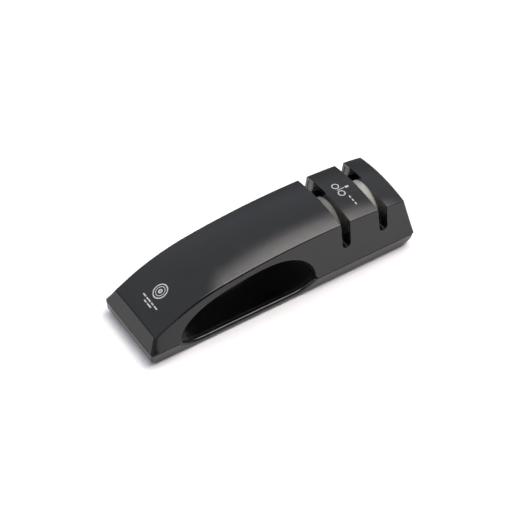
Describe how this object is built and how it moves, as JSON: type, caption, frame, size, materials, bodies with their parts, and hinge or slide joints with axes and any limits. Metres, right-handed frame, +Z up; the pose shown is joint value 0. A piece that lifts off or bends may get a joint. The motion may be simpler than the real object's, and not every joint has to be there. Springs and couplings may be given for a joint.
{
  "type": "two-stage knife sharpener",
  "caption": "Long black pull-through sharpener with an arched finger opening, a sloping top and blade slots over pairs of spinning ceramic wheels.",
  "frame": {"origin": "centre of the overall footprint, on the surface the rubber feet stand on", "axes": "+X from the low front end towards the blade slots, +Z up, +Y to the left seen from the front end looking along +X"},
  "size_m": [0.2, 0.0588, 0.0472],
  "materials": {
    "housing_black": "gloss",
    "base_black": "satin",
    "liner_black": "gloss",
    "cradle_grey": "moulded matt",
    "hub_plastic": "moulded matt",
    "washer_nylon": "satin",
    "coarse_ceramic": "ground ceramic",
    "fine_ceramic": "fine ceramic",
    "steel": "bright",
    "foot_rubber": "matt"
  },
  "bodies": {
    "case": {"top_housing": "housing_black", "base_tray": "base_black", "grip_liner": "liner_black", "case_screws": "steel", "foot_front_left": "foot_rubber", "foot_front_right": "foot_rubber", "foot_rear_left": "foot_rubber", "foot_rear_right": "foot_rubber", "coarse_slot_guide": "liner_black", "coarse_cradle": "cradle_grey", "coarse_axle": "steel", "coarse_washers": "washer_nylon", "coarse_axle_clips": "steel", "fine_slot_guide": "liner_black", "fine_cradle": "cradle_grey", "fine_axle": "steel", "fine_washers": "washer_nylon", "fine_axle_clips": "steel"},
    "coarse_left_wheel_set": {"coarse_left_wheel": "coarse_ceramic", "coarse_left_hub": "hub_plastic"},
    "coarse_right_wheel_set": {"coarse_right_wheel": "coarse_ceramic", "coarse_right_hub": "hub_plastic"},
    "fine_left_wheel_set": {"fine_left_wheel": "fine_ceramic", "fine_left_hub": "hub_plastic"},
    "fine_right_wheel_set": {"fine_right_wheel": "fine_ceramic", "fine_right_hub": "hub_plastic"}
  },
  "joints": [
    {"name": "coarse_left_wheel_spin", "type": "hinge", "parent": "case", "child": "coarse_left_wheel_set", "pos_m": [0.0472, 0, 0.0245], "axis": [1, 0, 0], "continuous": true},
    {"name": "coarse_right_wheel_spin", "type": "hinge", "parent": "case", "child": "coarse_right_wheel_set", "pos_m": [0.0472, 0, 0.0245], "axis": [1, 0, 0], "continuous": true},
    {"name": "fine_left_wheel_spin", "type": "hinge", "parent": "case", "child": "fine_left_wheel_set", "pos_m": [0.0762, 0, 0.0245], "axis": [1, 0, 0], "continuous": true},
    {"name": "fine_right_wheel_spin", "type": "hinge", "parent": "case", "child": "fine_right_wheel_set", "pos_m": [0.0762, 0, 0.0245], "axis": [1, 0, 0], "continuous": true}
  ]
}
